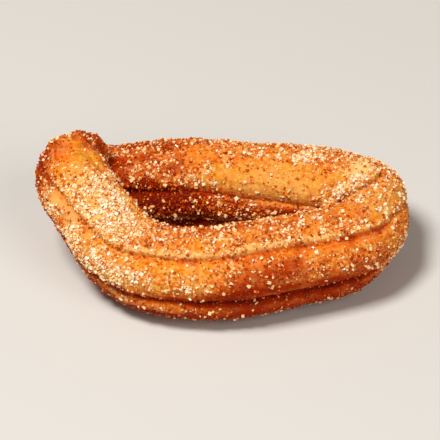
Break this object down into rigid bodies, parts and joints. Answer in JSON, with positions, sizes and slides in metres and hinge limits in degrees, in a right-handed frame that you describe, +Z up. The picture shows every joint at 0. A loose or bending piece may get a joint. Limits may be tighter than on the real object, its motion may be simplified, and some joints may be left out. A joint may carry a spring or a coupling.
{
  "type": "churro",
  "caption": "Fried loop churro: a ridged strand of dough bent into a teardrop, one tail laid over the other, coated in cinnamon sugar.",
  "frame": {"origin": "the middle of the loop's outline, on the surface it lies on", "axes": "+Z up with the loop lying flat, +X from the crossed tails towards the tight end, +Y towards the straighter back strand"},
  "size_m": [0.0738, 0.0467, 0.0245],
  "materials": {
    "fried_dough": "golden fried dough with cinnamon sugar grains"
  },
  "bodies": {
    "root": {"churro": "fried_dough"}
  },
  "joints": []
}
